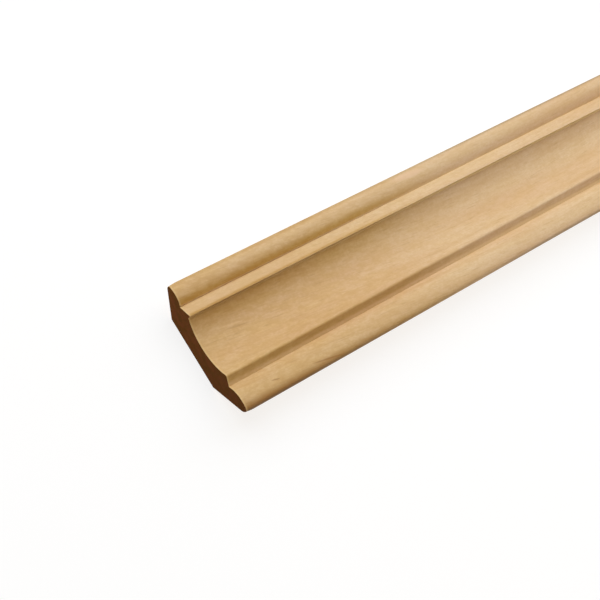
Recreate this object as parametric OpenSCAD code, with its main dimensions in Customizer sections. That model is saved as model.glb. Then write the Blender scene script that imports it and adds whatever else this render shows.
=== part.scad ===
// Cornice moulding: one length of planed softwood, run through a spindle moulder.
// It lies on its flat back. The moulded front faces up (+Z), the length runs along X,
// the ceiling edge is at +Y and the wall edge is at -Y. Both ends are sawn square.

/* [Stock] */
// Length of the piece
length = 2400; // [100:10:5000]
// Width of the blank, from the wall edge to the ceiling edge
width = 60; // [50:1:90]
// Thickness of the blank, from the back to the highest line of the front
thickness = 17; // [15:0.5:30]

/* [Seats on the back] */
// Angle between the ceiling seat and the back
ceiling_seat_angle = 52; // [45:1:60]
// Angle between the wall seat and the back
wall_seat_angle = 38; // [34:1:45]
// Height of the narrow flat between the ceiling seat and the bead
ceiling_edge_flat = 0.1; // [0.1:0.1:3]
// Height of the narrow flat between the wall seat and the ovolo
wall_edge_flat = 0.1; // [0.1:0.1:3]
// Radius of the round along the ceiling edge
ceiling_edge_round = 1; // [0.3:0.1:2]
// Radius of the round along the wall edge
wall_edge_round = 2.5; // [0.8:0.1:4.5]
// Radius of the round between each seat and its narrow flat
seat_round = 2; // [0.3:0.1:2.5]

/* [Upper bead] */
// Width of the low bead along the ceiling edge
bead_width = 9.9; // [8:0.1:12]
// Radius of the bead's face
bead_radius = 8; // [6.5:0.5:20]
// How far the bead's crest lies from the ceiling edge
bead_crest = 4.6; // [3:0.1:6]
// How far the bead's crest lies below the highest line of the front
bead_drop = 1.2; // [0.2:0.1:2.5]
// Height of the upright side of the bead, above the foot of the fillet
bead_side_height = 0.5; // [0.4:0.1:2.5]

/* [Sloping fillet and return] */
// Width of the straight fillet beside the bead
fillet_width = 6; // [3:0.1:8]
// Height of the upright return between the fillet and the cove
return_height = 2.3; // [0.8:0.1:3]
// Radius that eases the small arrises
arris_round = 0.3; // [0.1:0.1:0.5]

/* [Cove and step] */
// How deep the cove sinks below a straight line between its two sides
cove_sink = 5; // [2:0.1:6]
// Width of the sloping step between the cove and the ovolo
step_width = 4; // [3:0.1:5]
// Radius of the round at the top of the step
step_round = 1; // [0.5:0.1:1.5]

/* [Lower ovolo] */
// Width of the ovolo along the wall edge
ovolo_width = 12.4; // [10:0.1:13]
// Radius of the ovolo
ovolo_radius = 10.5; // [9.5:0.5:20]
// How far the ovolo's crest lies from the wall edge
ovolo_crest = 4.6; // [3.7:0.1:5]

/* [Hidden] */
$fn = 180;

wood = [0.86, 0.72, 0.53];
hair = 0.003;
planing = 1;

// Places across the width, from the ceiling edge to the wall edge
ceiling_edge = width / 2;
bead_side = ceiling_edge - bead_width;
fillet_arris = bead_side - fillet_width;
wall_edge = -width / 2;
ovolo_side = wall_edge + ovolo_width;
step_arris = ovolo_side + step_width;

bead_centre = [ceiling_edge - bead_crest, thickness - bead_drop - bead_radius];
ovolo_centre = [wall_edge + ovolo_crest, thickness - ovolo_radius];

// Where the bead and the ovolo meet their upright sides and the outer edges
bead_inner = on_circle(bead_centre, bead_radius, bead_side);
bead_outer = on_circle(bead_centre, bead_radius, ceiling_edge);
step_foot = on_circle(ovolo_centre, ovolo_radius, ovolo_side);
ovolo_outer = on_circle(ovolo_centre, ovolo_radius, wall_edge);
fillet_foot = bead_inner - [0, bead_side_height];

// Each seat rises from the back and turns into a narrow flat, which ends where the edge
// starts to turn. Its top is the corner where it would meet the flat without that round.
ceiling_turn = round_centre(bead_outer, [0, 1], [-1, 0], ceiling_edge_round,
    bead_centre, bead_radius - ceiling_edge_round);
wall_turn = round_centre(ovolo_outer, [0, 1], [1, 0], wall_edge_round,
    ovolo_centre, ovolo_radius - wall_edge_round);
ceiling_seat_top = ceiling_turn[1] - ceiling_edge_flat - seat_reach(ceiling_seat_angle);
wall_seat_top = wall_turn[1] - wall_edge_flat - seat_reach(wall_seat_angle);
ceiling_seat_foot = ceiling_edge - ceiling_seat_top / tan(ceiling_seat_angle);
wall_seat_foot = wall_edge + wall_seat_top / tan(wall_seat_angle);

// The cove runs from the foot of the return to the arris of the step
cove_start = [fillet_arris, thickness - return_height];
cove_end = [step_arris, thickness];
cove_chord = norm(cove_end - cove_start);
cove_radius = (pow(cove_chord / 2, 2) + pow(cove_sink, 2)) / (2 * cove_sink);
cove_centre = (cove_start + cove_end) / 2
    + (cove_radius - cove_sink) * turned(unit(cove_start - cove_end));

function unit(v) = v / norm(v);

// How far the round at the top of a seat reaches along the narrow flat
function seat_reach(angle) = seat_round * tan((90 - angle) / 2);

// A direction turned a quarter to the left
function turned(d) = [-d[1], d[0]];

// The point straight above a place across the width, on the top of a circle
function on_circle(centre, radius, place) =
    [place, centre[1] + sqrt(pow(radius, 2) - pow(place - centre[0], 2))];

// Centre of a round beside a line, at a known distance from the middle of a circle.
// The line runs through a point along d, and the round lies to the side of n.
function round_centre(point, d, n, r, middle, distance) =
    let (
        start = point + r * n,
        along = (middle - start) * d,
        aside = norm(middle - start - along * d),
        half = sqrt(pow(distance, 2) - pow(aside, 2))
    )
    start + (abs(along - half) < abs(along + half) ? along - half : along + half) * d;

// What a round takes off a corner, where a and b point from its centre at the two sides.
// Its circle is a hair larger than the round, so it crosses both sides and leaves no sliver.
module corner_waste(corner, centre, r, a, b) {
    difference() {
        polygon([centre, centre + 2 * r * a, 2 * corner - centre, centre + 2 * r * b]);
        translate(centre) circle(r = r + hair);
    }
}

// Eases a corner between a straight side and a curved one
module ease_curved(corner, d, n, r, middle, radius, distance) {
    centre = round_centre(corner, d, n, r, middle, distance);
    touch = middle + radius * unit(centre - middle);
    corner_waste(corner, centre, r, -n, unit(touch - centre));
}

// Eases a corner between two straight sides, which leave it along a and b
module ease_straight(corner, a, b, r) {
    half_angle = acos(a * b) / 2;
    centre = corner + r / sin(half_angle) * unit(a + b);
    reach = r / tan(half_angle);
    corner_waste(corner, centre, r, unit(corner + reach * a - centre), unit(corner + reach * b - centre));
}

// Waste above a circle, over one stretch of the width
module above_circle(centre, radius, from, to) {
    difference() {
        translate([from, centre[1]]) square([to - from, 2 * thickness]);
        translate(centre) circle(r = radius);
    }
}

// The sawn blank with both seats bevelled off its back. Its front is still rough, a little
// above the finished height.
module blank() {
    ceiling_corner = [ceiling_edge, ceiling_seat_top];
    wall_corner = [wall_edge, wall_seat_top];
    ceiling_foot = [ceiling_seat_foot, 0];
    wall_foot = [wall_seat_foot, 0];
    difference() {
        polygon([
            wall_foot,
            ceiling_foot,
            ceiling_corner,
            [ceiling_edge, thickness + planing],
            [wall_edge, thickness + planing],
            wall_corner
        ]);
        ease_straight(ceiling_corner, [0, 1], unit(ceiling_foot - ceiling_corner), seat_round);
        ease_straight(wall_corner, [0, 1], unit(wall_foot - wall_corner), seat_round);
    }
}

// The bead's round face, its upright side and its two eased corners
module bead_waste() {
    above_circle(bead_centre, bead_radius, bead_side, ceiling_edge);
    ease_curved(bead_outer, [0, 1], [-1, 0], ceiling_edge_round,
        bead_centre, bead_radius, bead_radius - ceiling_edge_round);
    ease_curved(bead_inner, [0, 1], [1, 0], arris_round,
        bead_centre, bead_radius, bead_radius - arris_round);
}

// The fillet falls towards the bead and ends at a sharp return above the cove
module fillet_waste() {
    arris = [fillet_arris, thickness];
    polygon([arris, fillet_foot, [bead_side, 2 * thickness], [fillet_arris, 2 * thickness]]);
    ease_straight(arris, unit(fillet_foot - arris), [0, -1], arris_round);
}

// The cove stops at the upright return
module cove_waste() {
    intersection() {
        translate(cove_centre) circle(r = cove_radius);
        translate([step_arris, 0]) square([fillet_arris - step_arris, 2 * thickness]);
    }
}

// The step falls away from the cove until it meets the ovolo
module step_and_ovolo_waste() {
    slope = unit(step_foot - cove_end);
    difference() {
        above_circle(ovolo_centre, ovolo_radius, wall_edge, step_arris);
        polygon([cove_end, cove_end + thickness * slope, [wall_edge, 0], [step_arris, 0]]);
    }
    ease_curved(cove_end, slope, turned(slope), step_round,
        cove_centre, cove_radius, cove_radius + step_round);
    ease_curved(ovolo_outer, [0, 1], [1, 0], wall_edge_round,
        ovolo_centre, ovolo_radius, ovolo_radius - wall_edge_round);
}

module section() {
    difference() {
        blank();
        bead_waste();
        fillet_waste();
        cove_waste();
        step_and_ovolo_waste();
    }
}

module moulding() {
    color(wood)
    translate([-length / 2, 0, 0])
    rotate([90, 0, 90])
    linear_extrude(height = length)
    section();
}

moulding();
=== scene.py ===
import bpy
import numpy as np
from mathutils import Matrix


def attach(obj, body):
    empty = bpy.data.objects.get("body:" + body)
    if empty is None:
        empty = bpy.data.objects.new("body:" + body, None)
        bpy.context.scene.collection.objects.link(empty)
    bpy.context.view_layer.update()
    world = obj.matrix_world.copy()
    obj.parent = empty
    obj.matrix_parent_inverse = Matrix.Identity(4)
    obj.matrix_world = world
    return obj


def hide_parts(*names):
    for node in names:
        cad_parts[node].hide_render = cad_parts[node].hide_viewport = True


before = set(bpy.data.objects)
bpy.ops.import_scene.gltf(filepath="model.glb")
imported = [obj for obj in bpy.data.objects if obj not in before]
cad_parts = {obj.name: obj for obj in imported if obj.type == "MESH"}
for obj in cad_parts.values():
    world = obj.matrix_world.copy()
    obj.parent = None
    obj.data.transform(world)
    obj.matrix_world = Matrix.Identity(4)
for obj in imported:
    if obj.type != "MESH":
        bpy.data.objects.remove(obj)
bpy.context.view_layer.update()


# The moulding: one length of planed softwood with a cove between a low bead and an ovolo.
# A spindle moulder cuts the front and bevels both seats off the back in one pass, and a fine
# saw cuts it to length. Sizes are in millimetres until the mesh is made.
length, width, thickness = 2400.0, 60.0, 17.0
wall_edge, ceiling_edge = -width / 2, width / 2
bead_radius, ovolo_radius, cove_sink = 8.0, 10.5, 5.0
ceiling_round, wall_round, seat_round, step_round, arris_round, sawn_round = 1.0, 2.5, 2.0, 1.0, 0.3, 0.15
bead_side = ceiling_edge - 9.9
fillet_arris = bead_side - 6
ovolo_side = wall_edge + 12.4
bead_middle = np.array([ceiling_edge - 4.6, thickness - 1.2 - bead_radius])
ovolo_middle = np.array([wall_edge + 4.6, thickness - ovolo_radius])


def unit(v):
    """The direction of v: v over its own length."""
    return v / np.linalg.norm(v)


def above(middle, radius, place):
    """The point of a circle straight above a place across the width, by Pythagoras."""
    return np.array([place, middle[1] + np.sqrt(radius**2 - (place - middle[0])**2)])


def line(start, end, step=1.5):
    """Points along a straight line: start plus t times the way to the end, t from 0 to 1."""
    t = np.linspace(0, 1, 2 + int(np.linalg.norm(end - start) / step))[:, None]
    return start + t * (end - start)


def arc(middle, radius, start, end, turn):
    """Points round a middle from one point to another: middle plus radius times the cosine and
    sine of an angle that runs evenly between them, up for a turn of 1 and down for -1."""
    a = np.arctan2(start[1] - middle[1], start[0] - middle[0])
    b = np.arctan2(end[1] - middle[1], end[0] - middle[0])
    sweep = turn * ((turn * (b - a)) % (2 * np.pi))
    angle = a + np.linspace(0, 1, 6 + int(abs(sweep) * radius / 0.45)) * sweep
    return middle + radius * np.stack([np.cos(angle), np.sin(angle)], axis=1)


def straight_round(corner, before, after, radius):
    """Eases a corner of two straight sides: the middle lies on the line that halves the corner,
    radius over the sine of half its angle away, and the arc turns left round it."""
    a, b = unit(before - corner), unit(after - corner)
    half = np.arccos(a @ b) / 2
    middle = corner + radius / np.sin(half) * unit(a + b)
    reach = radius / np.tan(half)
    return arc(middle, radius, corner + reach * a, corner + reach * b, 1)


def round_middle(corner, along, inward, radius, middle, reach):
    """The middle of a small round beside a line and at a known reach from a circle's middle:
    the point of the line, moved inward by the radius, where that reach is met."""
    start = corner + radius * inward
    foot = (middle - start) @ along
    half = np.sqrt(reach**2 - np.sum((middle - start - foot * along)**2))
    return start + (foot - half if abs(foot - half) < abs(foot + half) else foot + half) * along


def moulded_section():
    """The closed outline of the section, turning left from the foot of the wall seat: straight
    lines and arcs one after the other, each starting where the last one ends."""
    up, right = np.array([0.0, 1.0]), np.array([1.0, 0.0])
    bead_inner = above(bead_middle, bead_radius, bead_side)
    bead_foot = bead_inner - 0.5 * up
    outer = round_middle(above(bead_middle, bead_radius, ceiling_edge), up, -right,
                         ceiling_round, bead_middle, bead_radius - ceiling_round)
    inner = round_middle(bead_inner, up, right, arris_round, bead_middle, bead_radius - arris_round)
    bead_from = bead_middle + bead_radius * unit(outer - bead_middle)
    bead_to = bead_middle + bead_radius * unit(inner - bead_middle)

    crest = np.array([fillet_arris, thickness])
    fillet = straight_round(crest, bead_foot, crest - up, arris_round)
    cove_from = crest - 2.3 * up
    cove_to = np.array([ovolo_side + 4, thickness])
    chord = cove_from - cove_to
    cove_radius = (chord @ chord / 4 + cove_sink**2) / (2 * cove_sink)
    cove_middle = (cove_from + cove_to) / 2 + (cove_radius - cove_sink) * unit(np.array([-chord[1], chord[0]]))

    step_foot = above(ovolo_middle, ovolo_radius, ovolo_side)
    slope = unit(step_foot - cove_to)
    inward = np.array([-slope[1], slope[0]])
    lip = round_middle(cove_to, slope, inward, step_round, cove_middle, cove_radius + step_round)
    lip_from = cove_middle + cove_radius * unit(lip - cove_middle)
    lip_to = lip - step_round * inward
    end = round_middle(above(ovolo_middle, ovolo_radius, wall_edge), up, right,
                       wall_round, ovolo_middle, ovolo_radius - wall_round)
    ovolo_to = ovolo_middle + ovolo_radius * unit(end - ovolo_middle)

    ceiling_top = np.array([ceiling_edge, outer[1] - 0.1 - seat_round * np.tan(np.radians(19))])
    wall_top = np.array([wall_edge, end[1] - 0.1 - seat_round * np.tan(np.radians(26))])
    ceiling_foot = np.array([ceiling_edge - ceiling_top[1] / np.tan(np.radians(52)), 0.0])
    wall_foot = np.array([wall_edge + wall_top[1] / np.tan(np.radians(38)), 0.0])
    feet = [straight_round(wall_foot, wall_top, ceiling_foot, 0.3),
            straight_round(ceiling_foot, wall_foot, ceiling_top, 0.3)]
    tops = [straight_round(ceiling_top, ceiling_foot, ceiling_top + up, seat_round),
            straight_round(wall_top, wall_top + up, wall_foot, seat_round)]

    parts = [
        feet[0], line(feet[0][-1], feet[1][0]), feet[1], line(feet[1][-1], tops[0][0]), tops[0],
        line(tops[0][-1], outer + ceiling_round * right, 0.5),
        arc(outer, ceiling_round, outer + ceiling_round * right, bead_from, 1),
        arc(bead_middle, bead_radius, bead_from, bead_to, 1),
        arc(inner, arris_round, bead_to, inner - arris_round * right, 1),
        line(inner - arris_round * right, bead_foot, 0.5), line(bead_foot, fillet[0]), fillet,
        line(fillet[-1], cove_from, 0.5), arc(cove_middle, cove_radius, cove_from, lip_from, -1),
        arc(lip, step_round, lip_from, lip_to, 1), line(lip_to, step_foot),
        arc(ovolo_middle, ovolo_radius, step_foot, ovolo_to, 1),
        arc(end, wall_round, ovolo_to, end - wall_round * right, 1),
        line(end - wall_round * right, tops[1][0], 0.5), tops[1], line(tops[1][-1], feet[0][0]),
    ]
    outline = np.concatenate([part[:-1] for part in parts])
    return outline[np.linalg.norm(outline - np.roll(outline, 1, axis=0), axis=1) > 0.004]


section = moulded_section()
sides = np.roll(section, -1, axis=0) - section
sides /= np.linalg.norm(sides, axis=1)[:, None]
corner_way = sides + np.roll(sides, 1, axis=0)
corner_way /= np.linalg.norm(corner_way, axis=1)[:, None]
outward = np.stack([corner_way[:, 1], -corner_way[:, 0]], axis=1)

near = -length / 2 + sawn_round + 300 * np.linspace(0, 1, 90)**1.5
last = length / 2 - sawn_round - 30 * np.linspace(1, 0, 20)**1.5
stations = np.concatenate([[-length / 2], near, np.linspace(near[-1], last[0], 124)[1:-1], last, [length / 2]])


def carried_section(u, x):
    """The moulding's skin: outline point u carried to x along the length. It moves outward by a
    sum of slow sines of x and u a few hundredths of a millimetre high, as planed wood waves,
    fading to nothing at the highest lines, and inward by the saw's small easing at both ends."""
    wave = -0.03 + 0.018 * np.sin(x / 41 + 0.9 * u) + 0.012 * np.sin(x / 17.3 - 1.7 * u + 2)
    eased = np.where(np.abs(x) > length / 2 - sawn_round / 2, -sawn_round, 0)
    return wave + eased


def blunted_tip(starts, way, soft):
    """How far each outline point is pressed back along a way. What stands past a line square to
    that way by e moves back by e less soft times tanh of e over soft, so no tip keeps more than
    about soft."""
    past = np.maximum((section - starts) @ way, 0)
    return -(past - soft * np.tanh(past / soft))[:, None] * way


u, x = np.meshgrid(np.arange(len(section)) * 0.05, stations)
shift = carried_section(u, x)
knocks = (blunted_tip(np.array([wall_edge + 1.14, 13.9]), unit(np.array([-0.95, -0.31])), 0.68)
          + blunted_tip(np.array([ceiling_edge - 0.8, 13.8]), unit(np.array([0.996, 0.084])), 0.55))
rubbed = np.exp(-((length / 2 - np.abs(stations)) / 2)**2)
points = np.empty((len(stations), len(section), 3))
points[..., 0] = x
points[..., 1:] = section + shift[..., None] * outward + rubbed[:, None, None] * knocks
points[..., 2] = np.maximum(points[..., 2], 0)

rows, columns = np.meshgrid(np.arange(len(stations) - 1), np.arange(len(section)), indexing="ij")
onward = (columns + 1) % len(section)
quads = np.stack([rows * len(section) + columns, (rows + 1) * len(section) + columns,
                  (rows + 1) * len(section) + onward, rows * len(section) + onward], axis=-1).reshape(-1, 4)
near_end = list(range(len(section)))
far_end = [(len(stations) - 1) * len(section) + i for i in reversed(near_end)]
mesh = bpy.data.meshes.new("moulding_wood")
mesh.from_pydata((points.reshape(-1, 3) / 1000).tolist(), [], quads[:, ::-1].tolist() + [near_end[::-1], far_end[::-1]])
mesh.polygons.foreach_set("use_smooth", np.ones(len(mesh.polygons), dtype=bool))
mesh.set_sharp_from_angle(angle=np.radians(24))
mesh.update()
moulding = bpy.data.objects.new("moulding_wood", mesh)
bpy.context.scene.collection.objects.link(moulding)


class Wire:
    """A shader socket that can be used like a number: a + b, 1 - a and so on add Math nodes."""

    def __init__(self, tree, socket=None):
        self.tree, self.socket = tree, socket

    def node(self, kind, settings=None, values=None, out=0):
        """Adds a node: its settings first, then a value or a Wire for each socket named."""
        made = self.tree.nodes.new(kind)
        for name, value in (settings or {}).items():
            if name == "stops":
                ramp = made.color_ramp.elements
                while len(ramp) < len(value):
                    ramp.new(1.0)
                for stop, (place, colour) in zip(ramp, value):
                    stop.position, stop.color = place, (*colour, 1.0)
            else:
                setattr(made, name, value)
        for name, value in (values or {}).items():
            if isinstance(value, Wire):
                self.tree.links.new(value.socket, made.inputs[name])
            else:
                made.inputs[name].default_value = value
        return Wire(self.tree, made.outputs[out] if made.outputs else None)

    def sum(self, operation, first, second):
        return self.node("ShaderNodeMath", {"operation": operation}, {0: first, 1: second})

    def __add__(self, other): return self.sum("ADD", self, other)
    def __radd__(self, other): return self.sum("ADD", other, self)
    def __sub__(self, other): return self.sum("SUBTRACT", self, other)
    def __rsub__(self, other): return self.sum("SUBTRACT", other, self)
    def __mul__(self, other): return self.sum("MULTIPLY", self, other)
    def __rmul__(self, other): return self.sum("MULTIPLY", other, self)
    def __pow__(self, other): return self.sum("POWER", self, other)

    def sine(self):
        return self.node("ShaderNodeMath", {"operation": "SINE"}, {0: self})

    def size(self):
        return self.node("ShaderNodeMath", {"operation": "ABSOLUTE"}, {0: self})

    def between(self, low, high, to_low=0.0, to_high=1.0):
        """A smooth step from to_low, where this is low, to to_high, where it is high."""
        return self.node("ShaderNodeMapRange", {"interpolation_type": "SMOOTHSTEP"},
                         {"Value": self, "From Min": low, "From Max": high, "To Min": to_low, "To Max": to_high})

    def joined(self, y, z):
        return self.node("ShaderNodeCombineXYZ", None, {"X": self, "Y": y, "Z": z})

    def noise(self, detail=2.0, roughness=0.5):
        return self.node("ShaderNodeTexNoise", None, {"Vector": self, "Scale": 1.0, "Detail": detail, "Roughness": roughness})

    def tint(self, first, second):
        """A colour between two, with this as how much of the second."""
        return self.node("ShaderNodeMix", {"data_type": "RGBA"}, {0: self, 6: first, 7: second}, out=2)


def plain(red, green, blue):
    """A screen colour as the light it stands for, by the sRGB curve."""
    screen = np.array([red, green, blue]) / 255
    return (*np.where(screen <= 0.04045, screen / 12.92, ((screen + 0.055) / 1.055)**2.4), 1.0)


def softwood():
    """Pale planed softwood. Growth rings are cylinders round a pith below the piece, so they
    run along its faces and show as arcs on the sawn ends, which are drawn dark: partly end grain, partly painted shade."""
    material = bpy.data.materials.new("planed_softwood")
    material.use_nodes = True
    tree = material.node_tree
    tree.nodes.clear()
    start = Wire(tree)
    spot = start.node("ShaderNodeTexCoord", out="Object")
    x, y, z = (start.node("ShaderNodeSeparateXYZ", None, {0: spot}, out=i) for i in range(3))

    # The grain wanders a little to either side as it runs along the piece
    side = y + 0.012 * (x * 10.47 + 5.76).sine()
    slow = (x * 2.2).joined(side * 22, z * 22).noise(1)
    rings = (side - 0.02)**2 + (z + 0.085)**2
    rings = (rings**0.5 * 1450 + slow * 9).sine()
    patches = (x * 9).joined(side * 60, z * 60).noise(2)
    clouds = (x * 62).joined(side * 190, z * 190).noise(2, 0.6)
    threads = (x * 55).joined(side * 1300, z * 1300).noise(2, 0.6)
    pores = (x * 110).joined(side * 1900, z * 1900).noise(1).between(0.62, 0.76)
    grit = (x * 800).joined(side * 1300, z * 1300).noise(1)
    mottle = (x * 270).joined(side * 520, z * 520).noise(2, 0.6)

    # Painted light: golden towards the near end and paler further along, as the light falls brighter and flatter away
    # from that end
    farther_along = (x + slow * 0.02).between(-1.165, -1.04)
    face = farther_along.tint(plain(223, 191, 145), plain(233, 206, 170))
    face = (patches.between(0.36, 0.66) * 0.5).tint(face, plain(220, 180, 140))
    face = (clouds.between(0.35, 0.65) * (0.34 - farther_along * 0.14)).tint(face, plain(216, 178, 112))
    face = (rings.between(0.1, 1.0) * 0.14).tint(face, plain(203, 158, 104))
    face = (threads.between(0.42, 0.78) * (0.28 - farther_along * 0.12)).tint(face, plain(196, 152, 99))
    face = (mottle.between(0.38, 0.66) * (0.44 - farther_along * 0.26)).tint(face, plain(205, 163, 108))
    face = (grit.between(0.36, 0.64) * (0.30 - farther_along * 0.15)).tint(face, plain(208, 166, 110))
    face = (pores * 0.2).tint(face, plain(170, 124, 76))

    # Painted shade: where shade falls on the front, on its steeply falling sides and outer edges, it is drawn darker
    # and more golden near that end, almost plain further along
    painted_shade = y.between(0.0202, 0.0206) * (1 - y.between(0.0212, 0.0246))
    painted_shade = painted_shade + y.between(0.0277, 0.0290) * 0.3
    painted_shade = painted_shade + y.between(0.0139, 0.0142) * (1 - y.between(0.0144, 0.0156)) * 0.95
    painted_shade = painted_shade + y.between(0.0045, 0.0125) * (1 - y.between(0.01375, 0.0141)) * 0.62
    painted_shade = painted_shade + y.between(-0.0168, -0.0156) * (1 - y.between(-0.0139, -0.0130)) * 0.62
    painted_shade = (painted_shade + (1 - y.between(-0.0293, -0.0262)) * 0.62) * z.between(0.0095, 0.0105)
    beyond_near_end = (x + slow * 0.02).between(-1.10, -1.03)
    shade_gold = beyond_near_end.tint((0.80, 0.70, 0.42, 1), (0.97, 0.95, 1.0, 1))
    face = start.node("ShaderNodeMix", {"data_type": "RGBA", "blend_type": "MULTIPLY"}, {0: painted_shade, 6: face, 7: shade_gold}, out=2)
    # Painted shade: the ovolo's lower edge is drawn dark brown close to the near end
    edge_shade = (1 - y.between(-0.0297, -0.0255)) * (1 - x.between(-1.195, -1.09)) * z.between(0.0095, 0.0105)
    face = (edge_shade * 0.7).tint(face, plain(150, 100, 52))
    away = x.between(-1.08, -1.02)
    # Painted shade: a thin darker line along the rounding of the ceiling edge, stronger further along
    face = (y.between(0.0284, 0.0297) * z.between(0.0095, 0.0105) * (0.12 + farther_along * 0.26 + away * 0.3)).tint(face, plain(158, 134, 100))
    # Painted shade: a dark line along the rounding of the wall edge
    face = ((1 - y.between(-0.0299, -0.0288)) * z.between(0.0095, 0.0105) * (0.46 - farther_along * 0.34 + away * 0.3)).tint(face, plain(96, 88, 72))
    # Painted highlight: the bead's crest is drawn lighter close to the near end
    crest = y.between(0.0240, 0.0262) * (1 - y.between(0.0276, 0.0288)) * z.between(0.0095, 0.0105)
    face = (crest * x.between(-1.192, -1.165) * (0.16 - farther_along * 0.1)).tint(face, plain(240, 216, 184))
    # Painted light: the fillet is drawn lighter towards the near end
    fillet = y.between(0.0150, 0.0160) * (1 - y.between(0.0190, 0.0198)) * z.between(0.0095, 0.0105)
    face = (fillet * (0.22 - farther_along * 0.22)).tint(face, plain(238, 214, 178))
    # Painted light: the shaded upright faces, at the bead's foot, under the return and at the step's foot, are drawn
    # lighter
    clear = x.between(-1.19, -1.14)
    upright = y.between(0.0197, 0.0199) * (1 - y.between(0.02015, 0.0204)) * (0.1 + farther_along * 0.6)
    upright = upright + y.between(0.0134, 0.0140) * (1 - y.between(0.01425, 0.0145)) * (0.2 + clear * 0.3 + beyond_near_end * 0.5)
    upright = (upright + (1 - y.between(-0.0168, -0.0160)) * y.between(-0.0178, -0.0174) * (0.12 + beyond_near_end * 0.25)) * z.between(0.0095, 0.0105)
    face = upright.tint(face, plain(255, 232, 190))

    # A few marks: a fleck, a crease, a pink spot and three streaks, each an ellipse that leans
    # with the grain, so that across is measured from a line of that slope
    for along, over, reach, half, slope, amount, colour in (
            (-1.1823, -0.02445, 0.0024, 0.00042, -0.225, 0.5, plain(166, 112, 62)),
            (-1.1568, -0.02755, 0.0088, 0.00050, -0.171, 0.45, plain(158, 104, 56)),
            (-1.0720, 0.02680, 0.0110, 0.00200, -0.060, 0.55, plain(238, 203, 172)),
            (-1.1843, 0.00485, 0.0075, 0.00060, -0.152, 0.35, plain(232, 200, 150)),
            (-1.1812, 0.00300, 0.0065, 0.00050, -0.150, 0.30, plain(176, 132, 80)),
            (-1.1467, -0.00395, 0.0050, 0.00050, -0.110, 0.35, plain(234, 204, 156))):
        ahead = (x - along) * (1 / reach)
        across = (y - over - (x - along) * slope) * (1 / half)
        mark = 1 - (ahead**2 + across**2).between(0.1, 1.0)
        face = (mark * z.between(0.0095, 0.0105) * amount).tint(face, colour)

    # The sawn ends: dark brown, partly end grain and partly painted shade, and darker towards the wall edge
    end = ((y * 260).joined(z * 260, x * 260).noise(2)).between(0.38, 0.62).tint(plain(118, 64, 22), plain(104, 62, 8))
    end = (rings.between(-0.6, 0.9) * 0.25).tint(end, plain(92, 52, 12))
    end = ((y * 900).joined(z * 900, x * 900).noise(2) * 0.35).tint(end, plain(84, 42, 8))
    end = ((1 - y.between(-0.032, 0.012)) * 0.4).tint(end, plain(80, 44, 8))
    sawn = x.size().between(length / 2000 - 0.00014, length / 2000 - 0.00004)
    # Painted highlight: a lighter line on the faces along the arris of each sawn end
    painted_rim_highlight = x.size().between(length / 2000 - 0.0011, length / 2000 - 0.0004)
    face = (painted_rim_highlight * 0.45).tint(face, plain(232, 200, 144))

    relief = threads * 0.6 + mottle * 0.3 + (x * 3700).sine() * 0.05
    bump = start.node("ShaderNodeBump", None, {"Strength": 0.12, "Distance": 0.0004, "Height": relief})
    shine = start.node("ShaderNodeBsdfPrincipled", None, {
        "Base Color": sawn.tint(face, end), "Roughness": sawn.between(0, 1, 0.52, 0.9), "Normal": bump,
        "Specular IOR Level": 0.08})
    start.node("ShaderNodeOutputMaterial", None, {"Surface": shine})
    return material


mesh.materials.append(softwood())
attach(moulding, "root")
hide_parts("moulding")


# The floor: a wide matt board that the moulding lies on. It is lit from below as well as
# from above, so that shadows on it stay faint.
floor_mesh = bpy.data.meshes.new("floor")
floor_mesh.from_pydata([(-150, -150, 0), (150, -150, 0), (150, 150, 0), (-150, 150, 0)], [], [(0, 1, 2, 3)])
floor = bpy.data.objects.new("floor", floor_mesh)
bpy.context.scene.collection.objects.link(floor)
board = bpy.data.materials.new("pale_board")
board.use_nodes = True
for name, value in {"Base Color": (0.26, 0.26, 0.27, 1), "Roughness": 1.0, "Specular IOR Level": 0.0,
                    "Emission Color": (1, 1, 1, 1), "Emission Strength": 0.79}.items():
    board.node_tree.nodes["Principled BSDF"].inputs[name].default_value = value
floor_mesh.materials.append(board)


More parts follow.
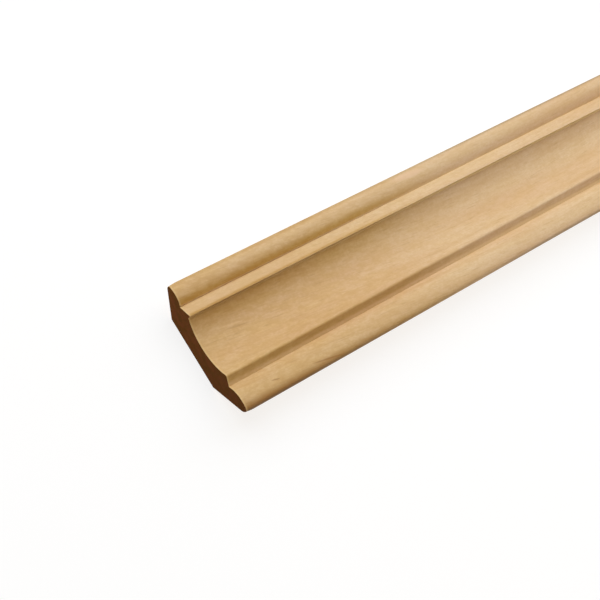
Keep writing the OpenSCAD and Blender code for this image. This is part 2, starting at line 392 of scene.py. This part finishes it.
# The light: long soft boxes. A cool one stands over the ceiling edge and a wide warm one fills in
# from overhead, both reaching a little past the near end, and a small one stands low on the wall
# side of the farther part. The room is pale near the floor and dim above.
def soft_box(name, start, tilt, reach, width, power, colour):
    """A flat lamp 6 m long beside the X axis, at an angle and a distance from it, and facing it."""
    lamp = bpy.data.lights.new(name, "AREA")
    lamp.shape, lamp.size, lamp.size_y = "RECTANGLE", 6.0, width
    lamp.energy, lamp.color = power, colour
    box = bpy.data.objects.new(name, lamp)
    turn = Matrix.Rotation(-np.radians(tilt), 4, "X")
    box.matrix_world = Matrix.Translation((start + 3, 0, 0)) @ turn @ Matrix.Translation((0, 0, reach))
    box.visible_camera = False
    bpy.context.scene.collection.objects.link(box)


soft_box("cool_box", -2.1, 31, 1.5, 1.46, 48, (0.67, 0.79, 1.0))
soft_box("warm_box", -2.1, 22, 1.6, 4.1, 60, (1.0, 0.83, 0.47))
soft_box("pink_box", -1.02, -60, 0.42, 0.3, 2.6, (1.0, 0.86, 0.80))
room = bpy.data.worlds.new("pale_room")
room.use_nodes = True
wall = Wire(room.node_tree)
height = wall.node("ShaderNodeSeparateXYZ", None, {0: wall.node("ShaderNodeTexCoord", out="Generated")}, out=2)
room.node_tree.nodes["Background"].inputs["Color"].default_value = (1, 0.92, 0.84, 1)
room.node_tree.links.new(height.between(0.06, 0.14, 0.35, 0.02).socket, room.node_tree.nodes["Background"].inputs["Strength"])
bpy.context.scene.world = room
bpy.context.scene.view_settings.view_transform = "Standard"


# The camera: above the near end and a little to its wall side, with a long lens.
camera_data = bpy.data.cameras.new("camera")
camera_data.lens, camera_data.sensor_width, camera_data.clip_start = 75.03, 36, 0.01
camera = bpy.data.objects.new("camera", camera_data)
right, upward, view = ((0.77500, -0.52772, 0.34768), (0.40920, 0.83831, 0.36027), (0.48159, 0.13694, -0.86563))
camera.matrix_world = Matrix((*zip(right, upward, -np.array(view), (-1.40235, -0.07135, 0.46397)), (0, 0, 0, 1)))
bpy.context.scene.collection.objects.link(camera)
bpy.context.scene.camera = camera
